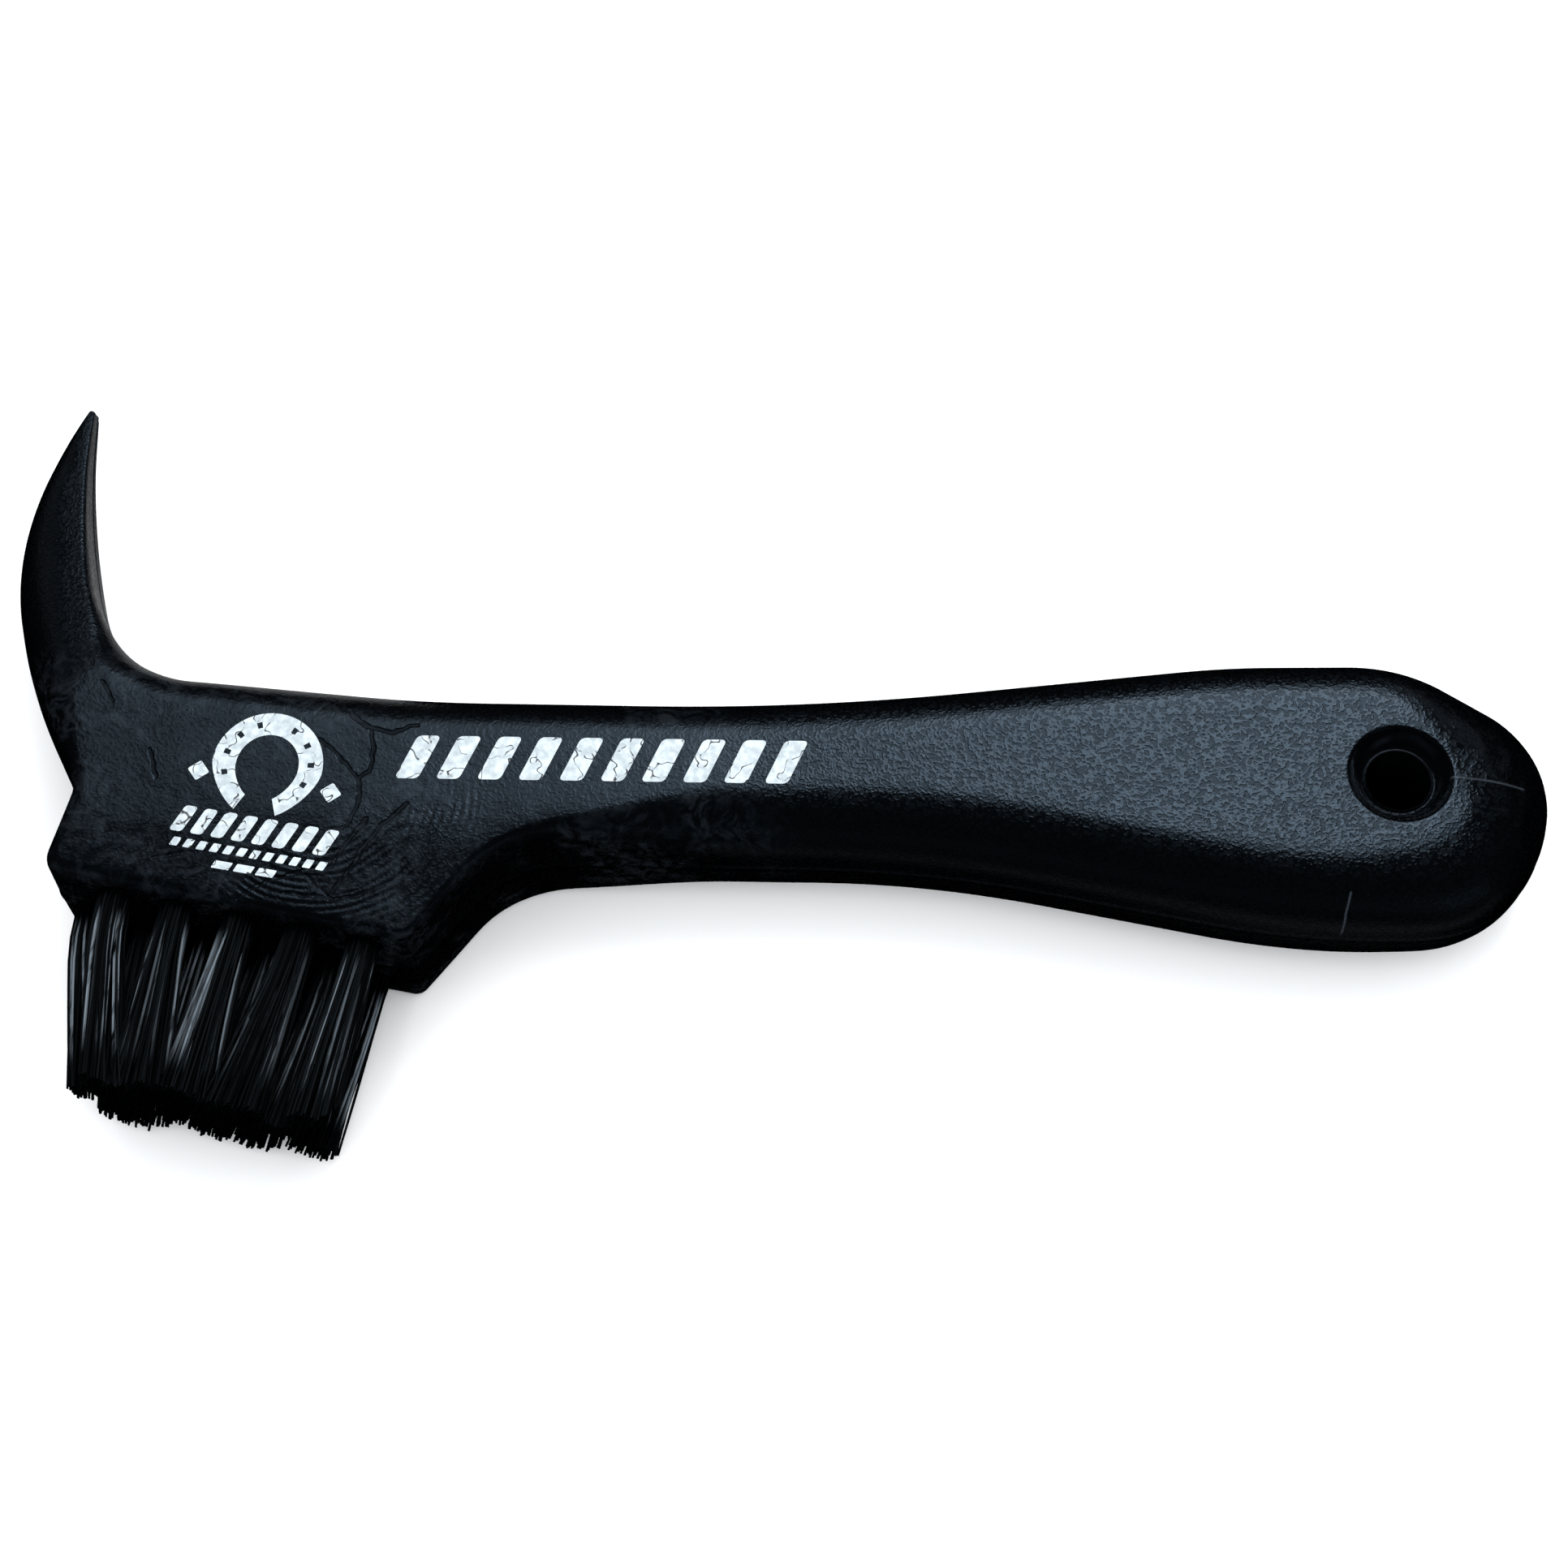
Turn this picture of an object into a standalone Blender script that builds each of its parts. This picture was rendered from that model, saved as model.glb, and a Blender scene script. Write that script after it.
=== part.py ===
"""Hoof pick with a brush, lying on its back face.

One moulded body carries a curved hoof hook, a flat head, a rounded grip and a countersunk hang hole.
Fifteen bristle tufts stand in blind holes in the head's lower edge, in three staggered rows of five.
Each tuft is folded over a flat metal anchor at the bottom of its hole.

+X runs along the grip towards its end, +Y points to the hook's tip and +Z through the thickness.
The origin is the middle of the underside of the whole tool's box. Sizes below are in millimetres.
"""

import math

import bmesh
import bpy
import numpy as np
from mathutils import Matrix, Vector
from mathutils.geometry import delaunay_2d_cdt

MM = 0.001
SMOOTH_ANGLE = math.radians(35.0)

# Body
THICKNESS = 17.5
MIDDLE = THICKNESS / 2
DRAFT = math.tan(math.radians(1.0))
OUTLINE_STEP = 3.2
OUTLINE_TURN = math.radians(12.0)
EDGE_RINGS = 5
FACE_GRID = 5.0
FACE_GRID_MARGIN = 3.0
FILL_TOLERANCE = 1e-5
FILL_INSIDE_OUTLINE = 1

# The two corners of the head at either end of the face that the brush stands on
BRUSH_LEFT_CORNER = (-76.7, -17.5)
BRUSH_RIGHT_CORNER = (-36.9, -24.5)

# The body's outline seen from above, anticlockwise from the hook's tip. Each corner is
# x, y, corner radius, width of its rounded edge, and the share of the half thickness that is rounded.
OUTLINE = (
    (-79.0, 45.4, 0.55, 0.3, 0.60),
    (-83.8, 35.7, 44.0, 3.0, 0.94),
    (-85.7, 21.6, 34.0, 6.2, 0.94),
    (-81.6, 6.5, 60.0, 5.6, 0.88),
    (-74.3, -7.2, 2.2, 1.8, 0.28),
    (*BRUSH_LEFT_CORNER, 2.6, 1.6, 0.22),
    (*BRUSH_RIGHT_CORNER, 1.7, 0.9, 0.12),
    (-27.2, -11.8, 13.0, 1.3, 0.20),
    (-2.6, -11.7, 300.0, 6.0, 0.70),
    (18.2, -11.6, 140.0, 6.5, 0.74),
    (59.5, -19.0, 95.0, 6.5, 0.74),
    (82.7, -17.5, 14.7, 9.5, 0.74),
    (86.6, 2.8, 12.1, 9.5, 0.74),
    (69.7, 12.8, 20.2, 6.5, 0.74),
    (50.3, 12.2, 105.0, 6.5, 0.74),
    (4.2, 6.0, 300.0, 6.5, 0.74),
    (-36.5, 5.5, 200.0, 6.0, 0.70),
    (-69.5, 7.3, 12.0, 4.5, 0.55),
    (-75.0, 16.5, 24.0, 1.0, 0.28),
    (-78.4, 30.1, 90.0, 0.6, 0.20),
)

# The hook thins from the head's full thickness to its tip, past a slanting line across its root.
HOOK_ROOT = (-73.8, 5.6)
HOOK_DIRECTION = (-0.42, 0.907)
HOOK_REACH = 41.0
HOOK_BLEND = 2.0
TIP_THICKNESS = 2.0
HOOK_TAPER_POWER = 1.3

# Hang hole, countersunk from both faces
HANG_HOLE_CENTRE = (68.3, -2.6)
HANG_HOLE_RADIUS = 3.4
COUNTERSINK_RADIUS = 5.4
COUNTERSINK_DEPTH = 1.9
HANG_HOLE_SIDES = 40
CUTTER_OVERRUN = 1.0

# Brush: three rows of five tufts, the middle row half a pitch nearer the hook's side
TUFTS_PER_ROW = 5
TUFT_PITCH = 6.8
LAST_TUFT_MARGIN = 5.0
ROW_SPACING = 5.0
# Each row's name, its level in row spacings above mid thickness, its shift towards the hook's side in
# pitches, and how far each tuft leans towards the grip's end, in degrees from the face's normal
TUFT_ROWS = (
    ("front", 1.0, 0.0, (12.0, 5.5, 0.0, -5.0, 0.0)),
    ("middle", 0.0, 0.5, (16.0, 9.0, 3.0, -2.0, -3.0)),
    ("back", -1.0, 0.0, (12.0, 6.0, 0.0, -4.0, -4.0)),
)
TUFT_HOLE_RADIUS = 2.1
TUFT_HOLE_DEPTH = 8.0
TUFT_HOLE_SIDES = 16

# Tufts
TUFT_ROOT_RADIUS = 1.8
TUFT_TIP_RADIUS = 2.1
TUFT_ROOT_DEPTH = 7.7
TUFT_FREE_LENGTH = 20.5
TUFT_SIDES = 12
TUFT_BEND_LENGTH = 7.0
# The folded root narrows in two steps, and the trimmed tip has a small chamfer
TUFT_FOLD_STEPS = ((0.0, 0.6), (0.35, 0.9), (0.9, 1.0))
TUFT_TIP_CHAMFER = 0.8
TUFT_TIP_SHARE = 0.8

# Anchors: flat wire across each tuft's fold
ANCHOR_LENGTH = 3.7
ANCHOR_HEIGHT = 1.8
ANCHOR_THICKNESS = 0.45
ANCHOR_DEPTH = 5.6
ANCHOR_CLEARANCE = 0.3
ANCHOR_BEVEL = 0.08
ANCHOR_BEVEL_SEGMENTS = 2


def clear_scene():
    for old in list(bpy.data.objects):
        bpy.data.objects.remove(old, do_unlink=True)


def make_material(name, colour, roughness, metallic=0.0):
    material = bpy.data.materials.new(name)
    material.use_nodes = True
    shader = material.node_tree.nodes["Principled BSDF"]
    shader.inputs["Base Color"].default_value = (*colour, 1.0)
    shader.inputs["Roughness"].default_value = roughness
    shader.inputs["Metallic"].default_value = metallic
    return material


def make_object(name, points, faces, material=None):
    """An object whose points are given in millimetres."""
    mesh = bpy.data.meshes.new(name)
    mesh.from_pydata([tuple(MM * float(c) for c in point) for point in points], [], faces)
    shape = bmesh.new()
    shape.from_mesh(mesh)
    bmesh.ops.recalc_face_normals(shape, faces=shape.faces)
    shape.to_mesh(mesh)
    shape.free()
    mesh.shade_smooth()
    mesh.set_sharp_from_angle(angle=SMOOTH_ANGLE)
    if material:
        mesh.materials.append(material)
    made = bpy.data.objects.new(name, mesh)
    bpy.context.collection.objects.link(made)
    return made


def hide_cutter(cutter):
    cutter.hide_render = True
    cutter.display_type = "WIRE"
    return cutter


def cut(target, cutter):
    modifier = target.modifiers.new("cut_" + cutter.name, "BOOLEAN")
    modifier.operation = "DIFFERENCE"
    modifier.solver = "EXACT"
    modifier.object = cutter


# ---------------------------------------------------------------- outline


def corner_arc(before, corner, after, radius):
    """Points and inward normals along the arc that rounds one corner."""
    back = (before - corner) / np.linalg.norm(before - corner)
    ahead = (after - corner) / np.linalg.norm(after - corner)
    inside = math.acos(float(np.clip(back @ ahead, -1.0, 1.0)))
    bisector = (back + ahead) / np.linalg.norm(back + ahead)
    centre = corner + bisector * radius / math.sin(inside / 2)
    start = corner + back * radius / math.tan(inside / 2)
    turn = math.pi - inside
    side = 1.0 if back[1] * ahead[0] - back[0] * ahead[1] > 0 else -1.0
    steps = max(2, math.ceil(turn / OUTLINE_TURN), math.ceil(radius * turn / OUTLINE_STEP))
    first = math.atan2(start[1] - centre[1], start[0] - centre[0])
    angles = first + side * turn * np.arange(steps + 1) / steps
    spokes = np.stack([np.cos(angles), np.sin(angles)], axis=1)
    return centre + radius * spokes, -side * spokes


def round_outline():
    """The outline's points and inward normals, and each point's edge width and edge share."""
    corners = [np.array(row[:2]) for row in OUTLINE]
    count = len(corners)
    arcs = [
        corner_arc(corners[i - 1], corners[i], corners[(i + 1) % count], OUTLINE[i][2])
        for i in range(count)
    ]
    points = []
    normals = []
    middles = []
    for i, (arc, arc_normals) in enumerate(arcs):
        last = arcs[i - 1][0][-1]
        run = arc[0] - last
        steps = max(1, math.ceil(np.linalg.norm(run) / OUTLINE_STEP))
        for k in range(1, steps):
            points.append(last + run * k / steps)
            normals.append(arc_normals[0])
        middles.append(len(points) + (len(arc) - 1) // 2)
        points.extend(arc)
        normals.extend(arc_normals)
    points = np.array(points)
    widths = blend_around(points, middles, [row[3] for row in OUTLINE])
    shares = blend_around(points, middles, [row[4] for row in OUTLINE])
    return points, np.array(normals), widths, shares


def blend_around(loop, marked, values):
    """Values known at some of a closed loop's points, eased by distance between them."""
    steps = np.linalg.norm(np.roll(loop, -1, axis=0) - loop, axis=1)
    travelled = np.concatenate([[0.0], np.cumsum(steps)])
    around = travelled[-1]
    places = np.append(travelled[marked], travelled[marked[0]] + around)
    values = np.append(values, values[0])
    place = travelled[:-1]
    place = np.where(place < places[0], place + around, place)
    left = np.clip(np.searchsorted(places, place, side="right") - 1, 0, len(marked) - 1)
    u = (place - places[left]) / (places[left + 1] - places[left])
    u = u * u * (3 - 2 * u)
    return values[left] * (1 - u) + values[left + 1] * u


def thinning(points):
    """The body's thickness at each point, as a share of its full thickness."""
    beyond = (points - np.array(HOOK_ROOT)) @ np.array(HOOK_DIRECTION)
    eased = np.maximum(0.0, beyond + HOOK_BLEND) ** 2 / (4 * HOOK_BLEND)
    beyond = np.where(beyond < HOOK_BLEND, eased, beyond)
    left = np.clip(1 - beyond / HOOK_REACH, 0.0, 1.0) ** HOOK_TAPER_POWER
    return (TIP_THICKNESS + (THICKNESS - TIP_THICKNESS) * left) / THICKNESS


# ---------------------------------------------------------------- body


def edge_rings():
    """Closed loops of points from the middle plane up round the edge to the rim of the flat face."""
    points, normals, widths, shares = round_outline()
    rings = [(points, np.zeros(len(points)))]
    flank_tops = (1 - shares) * MIDDLE
    drafts = flank_tops * DRAFT
    for k in range(EDGE_RINGS + 1):
        angle = math.pi / 2 * k / EDGE_RINGS
        insets = drafts + widths * (1 - math.cos(angle))
        heights = flank_tops + shares * MIDDLE * math.sin(angle)
        rings.append((points + normals * insets[:, None], heights))
    return rings


def inside_polygon(samples, polygon):
    """Which samples lie inside the polygon, and how far each is from its edge."""
    start = polygon
    end = np.roll(polygon, -1, axis=0)
    x = samples[:, 0, None]
    y = samples[:, 1, None]
    straddles = (start[:, 1] > y) != (end[:, 1] > y)
    rise = np.where(end[:, 1] == start[:, 1], 1.0, end[:, 1] - start[:, 1])
    crossing = start[:, 0] + (y - start[:, 1]) / rise * (end[:, 0] - start[:, 0])
    inside = (straddles & (x < crossing)).sum(axis=1) % 2 == 1
    edge = end - start
    along = ((samples[:, None, :] - start) * edge).sum(axis=2) / (edge**2).sum(axis=1)
    nearest = start + np.clip(along, 0.0, 1.0)[..., None] * edge
    return inside, np.linalg.norm(samples[:, None, :] - nearest, axis=2).min(axis=1)


def fill_face(rim):
    """Triangles over the flat face inside the rim, and the extra points they use."""
    low = rim.min(axis=0)
    high = rim.max(axis=0)
    rows = np.arange(low[1], high[1], FACE_GRID * math.sqrt(3) / 2)
    columns = np.arange(low[0], high[0], FACE_GRID)
    grid = np.array([(x + FACE_GRID / 2 * (i % 2), y) for i, y in enumerate(rows) for x in columns])
    inside, margin = inside_polygon(grid, rim)
    extra = grid[inside & (margin > FACE_GRID_MARGIN)]
    flat = [Vector(point) for point in np.vstack([rim, extra])]
    loop = list(range(len(rim)))
    filled = delaunay_2d_cdt(flat, [], [loop], FILL_INSIDE_OUTLINE, FILL_TOLERANCE)
    triangles = filled[2]
    origins = filled[3]
    number = {i: origin[0] for i, origin in enumerate(origins)}
    return extra, [tuple(number[i] for i in triangle) for triangle in triangles]


def make_body(material):
    rings = edge_rings()
    count = len(rings[0][0])
    rim = rings[-1][0]
    extra, triangles = fill_face(rim)
    plan = [ring for ring, _ in rings] + [extra]
    heights = [height for _, height in rings] + [np.full(len(extra), MIDDLE)]
    plan = np.vstack(plan)
    heights = np.concatenate(heights) * thinning(plan)
    front = np.column_stack([plan, MIDDLE + heights])
    back = np.column_stack([plan, MIDDLE - heights])[count:]
    rim_start = count * (len(rings) - 1)
    front_of = list(range(len(front)))
    back_of = list(range(count)) + [len(front) + i for i in range(len(back))]
    faces = []
    for index_of in (front_of, back_of):
        for ring in range(len(rings) - 1):
            for i in range(count):
                j = (i + 1) % count
                low = ring * count
                high = low + count
                faces.append([index_of[k] for k in (low + i, low + j, high + j, high + i)])
        faces.extend([[index_of[rim_start + k] for k in triangle] for triangle in triangles])
    return make_object("body", np.vstack([front, back]), faces, material)


def turned_solid(stations, sides):
    """Points and faces of a closed solid turned about Z, from (height, radius) stations."""
    points = []
    for height, radius in stations:
        for k in range(sides):
            angle = 2 * math.pi * k / sides
            points.append((radius * math.cos(angle), radius * math.sin(angle), height))
    faces = [list(range(sides))[::-1]]
    for ring in range(len(stations) - 1):
        for k in range(sides):
            low = ring * sides
            nxt = (k + 1) % sides
            faces.append([low + k, low + nxt, low + sides + nxt, low + sides + k])
    faces.append([sides * (len(stations) - 1) + k for k in range(sides)])
    return np.array(points), faces


def cut_hang_hole(body):
    slope = (COUNTERSINK_RADIUS - HANG_HOLE_RADIUS) / COUNTERSINK_DEPTH
    overrun_radius = COUNTERSINK_RADIUS + slope * CUTTER_OVERRUN
    stations = (
        (-CUTTER_OVERRUN, overrun_radius),
        (COUNTERSINK_DEPTH, HANG_HOLE_RADIUS),
        (THICKNESS - COUNTERSINK_DEPTH, HANG_HOLE_RADIUS),
        (THICKNESS + CUTTER_OVERRUN, overrun_radius),
    )
    points, faces = turned_solid(stations, HANG_HOLE_SIDES)
    points = points + np.array([*HANG_HOLE_CENTRE, 0.0])
    cut(body, hide_cutter(make_object("hang_hole_cutter", points, faces)))


# ---------------------------------------------------------------- brush


def brush_directions():
    """Along the brush face towards the grip, and out of it."""
    run = np.subtract(BRUSH_RIGHT_CORNER, BRUSH_LEFT_CORNER)
    along = np.array([*run, 0.0]) / np.linalg.norm(run)
    outward = np.array([along[1], -along[0], 0.0])
    return along, outward


def tuft_places():
    """Each tuft's row, number, lean in degrees and the middle of its hole's mouth."""
    along, _ = brush_directions()
    places = []
    for row, level, shift, leans in TUFT_ROWS:
        for number in range(TUFTS_PER_ROW):
            pitches = TUFTS_PER_ROW - 1 - number + shift
            corner = np.array([*BRUSH_RIGHT_CORNER, MIDDLE + level * ROW_SPACING])
            mouth = corner - along * (LAST_TUFT_MARGIN + TUFT_PITCH * pitches)
            places.append((row, number + 1, leans[number], mouth))
    return places


def brush_frame(mouth):
    """A matrix whose Z points out of the brush face and whose X runs along it, in millimetres."""
    along, outward = brush_directions()
    across = np.cross(outward, along)
    columns = np.column_stack([along, across, outward])
    return Matrix.Translation(Vector(mouth)) @ Matrix(columns.tolist()).to_4x4()


def placed(points, matrix):
    return np.array([matrix @ Vector(point) for point in points])


def cut_tuft_holes(body):
    all_points = []
    all_faces = []
    stations = ((-TUFT_HOLE_DEPTH, TUFT_HOLE_RADIUS), (2 * CUTTER_OVERRUN, TUFT_HOLE_RADIUS))
    points, faces = turned_solid(stations, TUFT_HOLE_SIDES)
    for _, _, _, mouth in tuft_places():
        first = len(all_points)
        all_points.extend(placed(points, brush_frame(mouth)))
        all_faces.extend([[first + k for k in face] for face in faces])
    cut(body, hide_cutter(make_object("tuft_hole_cutter", all_points, all_faces)))


def tuft_axis(depth, lean):
    """A tuft's middle line: straight in its hole, then bending over to its lean."""
    slope = math.tan(math.radians(lean))
    if depth <= 0:
        return 0.0
    if depth < TUFT_BEND_LENGTH:
        return slope * depth**2 / (2 * TUFT_BEND_LENGTH)
    return slope * (depth - TUFT_BEND_LENGTH / 2)


def make_tuft(name, lean, mouth, material):
    stations = [
        (-TUFT_ROOT_DEPTH + step, share * TUFT_ROOT_RADIUS) for step, share in TUFT_FOLD_STEPS
    ]
    stations += [
        (0.0, TUFT_ROOT_RADIUS),
        (TUFT_BEND_LENGTH / 2, TUFT_ROOT_RADIUS),
        (TUFT_BEND_LENGTH, TUFT_TIP_RADIUS),
        (TUFT_FREE_LENGTH - TUFT_TIP_CHAMFER, TUFT_TIP_RADIUS),
        (TUFT_FREE_LENGTH, TUFT_TIP_SHARE * TUFT_TIP_RADIUS),
    ]
    points, faces = turned_solid(stations, TUFT_SIDES)
    points[:, 0] += np.array([tuft_axis(depth, lean) for depth in points[:, 2]])
    frame = brush_frame(mouth)
    tuft = make_object(name, placed(points, frame), faces, material)
    window = anchor_box(2 * ANCHOR_CLEARANCE, length=4 * TUFT_ROOT_RADIUS)
    cut(tuft, hide_cutter(make_object(name + "_window_cutter", placed(window[0], frame), window[1])))
    return tuft


def anchor_box(growth, length=ANCHOR_LENGTH):
    """Points and faces of the anchor's plate, grown by a clearance, in its tuft's own frame."""
    shape = bmesh.new()
    bmesh.ops.create_cube(shape, size=1.0)
    size = Vector((ANCHOR_THICKNESS + growth, length, ANCHOR_HEIGHT + growth))
    bmesh.ops.scale(shape, vec=size, verts=shape.verts)
    bmesh.ops.translate(shape, vec=(0.0, 0.0, -ANCHOR_DEPTH), verts=shape.verts)
    points = [tuple(vertex.co) for vertex in shape.verts]
    faces = [[vertex.index for vertex in face.verts] for face in shape.faces]
    shape.free()
    return points, faces


def make_anchor(name, mouth, material):
    points, faces = anchor_box(0.0)
    anchor = make_object(name, placed(points, brush_frame(mouth)), faces, material)
    bevel = anchor.modifiers.new("edges", "BEVEL")
    bevel.width = ANCHOR_BEVEL * MM
    bevel.segments = ANCHOR_BEVEL_SEGMENTS
    return anchor


def main():
    clear_scene()
    plastic = make_material("black_plastic", (0.018, 0.022, 0.028), 0.45)
    nylon = make_material("black_nylon", (0.012, 0.013, 0.016), 0.38)
    wire = make_material("anchor_wire", (0.62, 0.62, 0.60), 0.35, metallic=1.0)
    body = make_body(plastic)
    cut_hang_hole(body)
    cut_tuft_holes(body)
    for row, number, lean, mouth in tuft_places():
        make_tuft(f"tuft_{row}_{number}", lean, mouth, nylon)
        make_anchor(f"anchor_{row}_{number}", mouth, wire)


main()
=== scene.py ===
import math
import random

import bmesh
import bpy
import numpy as np
from mathutils import Matrix, Vector
from mathutils.geometry import delaunay_2d_cdt


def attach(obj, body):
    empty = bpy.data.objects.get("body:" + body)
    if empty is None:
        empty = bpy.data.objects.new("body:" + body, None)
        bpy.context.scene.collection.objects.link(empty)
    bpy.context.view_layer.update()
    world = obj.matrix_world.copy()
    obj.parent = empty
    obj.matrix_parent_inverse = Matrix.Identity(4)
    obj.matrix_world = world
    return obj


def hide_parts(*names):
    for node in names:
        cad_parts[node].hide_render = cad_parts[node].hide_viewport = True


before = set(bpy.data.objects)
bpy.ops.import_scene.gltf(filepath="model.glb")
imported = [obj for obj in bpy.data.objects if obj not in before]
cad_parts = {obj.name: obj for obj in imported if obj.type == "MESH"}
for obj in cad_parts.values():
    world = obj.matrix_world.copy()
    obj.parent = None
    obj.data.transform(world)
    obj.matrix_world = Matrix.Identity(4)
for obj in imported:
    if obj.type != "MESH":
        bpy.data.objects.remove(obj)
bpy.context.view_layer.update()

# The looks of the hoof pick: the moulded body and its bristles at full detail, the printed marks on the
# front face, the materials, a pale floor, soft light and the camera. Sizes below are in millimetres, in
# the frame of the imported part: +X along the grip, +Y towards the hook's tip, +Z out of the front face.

MM = 0.001
BODY = "root"

# ---------------------------------------------------------------- driving sizes, as in the part's source

THICKNESS = 17.5
MIDDLE = THICKNESS / 2
DRAFT = math.tan(math.radians(1.0))
BRUSH_LEFT_CORNER = (-76.7, -17.5)
BRUSH_RIGHT_CORNER = (-36.9, -24.5)

# The body's outline seen from above, anticlockwise from the hook's tip. Each corner is
# x, y, corner radius, width of its rounded edge, and the share of the half thickness that is rounded.
OUTLINE = (
    (-79.0, 45.4, 0.55, 0.3, 0.60),
    (-83.8, 35.7, 44.0, 3.0, 0.94),
    (-85.7, 21.6, 34.0, 6.2, 0.94),
    (-81.6, 6.5, 60.0, 5.6, 0.88),
    (-74.3, -7.2, 2.2, 1.8, 0.28),
    (*BRUSH_LEFT_CORNER, 2.6, 1.6, 0.22),
    (*BRUSH_RIGHT_CORNER, 1.7, 0.9, 0.12),
    (-27.2, -11.8, 13.0, 1.3, 0.20),
    (-2.6, -11.7, 300.0, 6.0, 0.70),
    (18.2, -11.6, 140.0, 6.5, 0.74),
    (59.5, -19.0, 95.0, 6.5, 0.74),
    (82.7, -17.5, 14.7, 9.5, 0.74),
    (86.6, 2.8, 12.1, 9.5, 0.74),
    (69.7, 12.8, 20.2, 6.5, 0.74),
    (50.3, 12.2, 105.0, 6.5, 0.74),
    (4.2, 6.0, 300.0, 6.5, 0.74),
    (-36.5, 5.5, 200.0, 6.0, 0.70),
    (-69.5, 7.3, 12.0, 4.5, 0.55),
    (-75.0, 16.5, 24.0, 1.0, 0.28),
    (-78.4, 30.1, 90.0, 0.6, 0.20),
)
HOOK_ROOT = (-73.8, 5.6)
HOOK_DIRECTION = (-0.42, 0.907)
HOOK_REACH = 41.0
HOOK_BLEND = 2.0
TIP_THICKNESS = 2.0
HOOK_TAPER_POWER = 1.3
HANG_HOLE_CENTRE = (68.3, -2.6)

TUFTS_PER_ROW = 5
TUFT_PITCH = 6.8
LAST_TUFT_MARGIN = 5.0
ROW_SPACING = 5.0
# Each row's name, its level in row spacings above mid thickness, its shift towards the hook's side in
# pitches, and how far each tuft leans towards the grip's end, in degrees from the face's normal
TUFT_ROWS = (
    ("front", 1.0, 0.0, (12.0, 5.5, 0.0, -5.0, 0.0)),
    ("middle", 0.0, 0.5, (16.0, 9.0, 3.0, -2.0, -3.0)),
    ("back", -1.0, 0.0, (12.0, 6.0, 0.0, -4.0, -4.0)),
)
TUFT_HOLE_RADIUS = 2.1
TUFT_HOLE_DEPTH = 8.0
TUFT_BEND_LENGTH = 7.0

# ---------------------------------------------------------------- finer detail than the part's source

OUTLINE_STEP = 0.9
OUTLINE_TURN = math.radians(4.0)
EDGE_RINGS = 12
FACE_GRID = 1.3
FACE_GRID_MARGIN = 0.6 * FACE_GRID
FILL_TOLERANCE = 1e-5
FILL_INSIDE = 1
FLANK_RINGS = 4
SHARP_ANGLE = math.radians(32.0)

# The flash line left where the two mould halves meet: how far it stands out, at heights above mid thickness
PARTING_LINE = ((0.0, 0.08), (0.10, 0.06), (0.24, 0.0))

# Hang hole's section, from the front face down: radius and depth below the face. A rounded mouth, the
# countersink's wall, and a small raised lip round the top of the bore.
HOLE_MOUTH_ROUNDING = 0.45
HOLE_MOUTH_STEPS = 5
COUNTERSINK_RADIUS = 5.4
HOLE_RADIUS = 3.4
HOLE_LIP = (
    (4.45, 1.55),
    (4.05, 1.86),
    (3.84, 1.92),
    (3.68, 1.82),
    (3.57, 1.76),
    (3.47, 1.82),
    (HOLE_RADIUS, 1.98),
)
HOLE_SIDES = 96
HOLE_COLLAR = 0.3
TUFT_HOLE_SIDES = 28
TUFT_CUTTER_RISE = 2.0

# Bristles
FILAMENTS_PER_TUFT = 86
FILAMENT_RADIUS = 0.165
FILAMENT_SIDES = 5
FILAMENT_STATIONS = 10
TUFT_PACK_RADIUS = 1.72
FILAMENT_ROOT_DEPTH = 4.4
FREE_LENGTH = 20.4
# Waves in the trimmed end: their place along the brush face, their reach and how far they stand out
TRIM_WAVES = ((14.3, 2.4, 0.5), (18.9, 2.4, -0.5), (27.0, 4.0, 0.3))
# How the trimmed end is cut back at the hook's side and at the grip's side: where along the brush face
# the cut starts, over what reach, how deep it is there, and the power it grows by
HOOK_SIDE_TRIM = (9.0, 5.0, 2.6, 1.5)
GRIP_SIDE_TRIM = (35.6, 2.2, 2.4, 1.6)
LENGTH_SPREAD = 0.08
FAN_ALONG = 4.6
FAN_ACROSS = 2.6
# How much of the fan the outermost filaments keep, at the hook's side and at the grip's side
OUTER_FAN_SHARES = (-0.15, 0.4)
STRAY_LEAN = 0.95
FILAMENT_BOW = 0.16
FILAMENT_WIDTHS = (0.9, 1.1)
FILAMENT_TAPER = 0.15

# Prints on the front face
INK_GAP = 0.004
INK_THICKNESS = 0.04
MARK_TILT = math.radians(-9.0)
# The horseshoe is a strip of cells from heel to heel, three lanes wide, with nail holes in its middle lane
HORSESHOE_CENTRE = (-53.3, -4.9)
HORSESHOE_WIDTH = 12.0
HORSESHOE_HEIGHT = 12.6
HORSESHOE_BAND = 2.6
HORSESHOE_LANES = (0.0, 0.36, 0.64, 1.0)
HORSESHOE_STEPS = 44
FIRST_HEEL = math.radians(-62.0)
HEEL_TO_HEEL = math.radians(304.0)
HEEL_NARROWING = 0.22
HEEL_NARROWING_POWER = 1.2
NAIL_LANE = 1
NAIL_STEPS = (6, 10, 14, 18, 25, 29, 33, 37)
SPOT_SIZE = 1.7
SPOT_ROUNDING = 0.2
SPOT_CENTRES = ((-60.6, -5.6), (-46.2, -7.9))
# Each printed line's centre, length, height, number of dashes and the gap between them
DASHED_LINES = (
    ((-53.9, -12.5), 17.8, 3.1, 8, 0.85),
    ((-54.3, -15.2), 17.4, 1.0, 12, 0.60),
    ((-54.6, -17.0), 7.2, 0.9, 3, 0.50),
)
# A dash's slant and corner radius, as shares of its height
DASH_SLANT = 0.35
DASH_ROUNDING = 0.12
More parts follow.
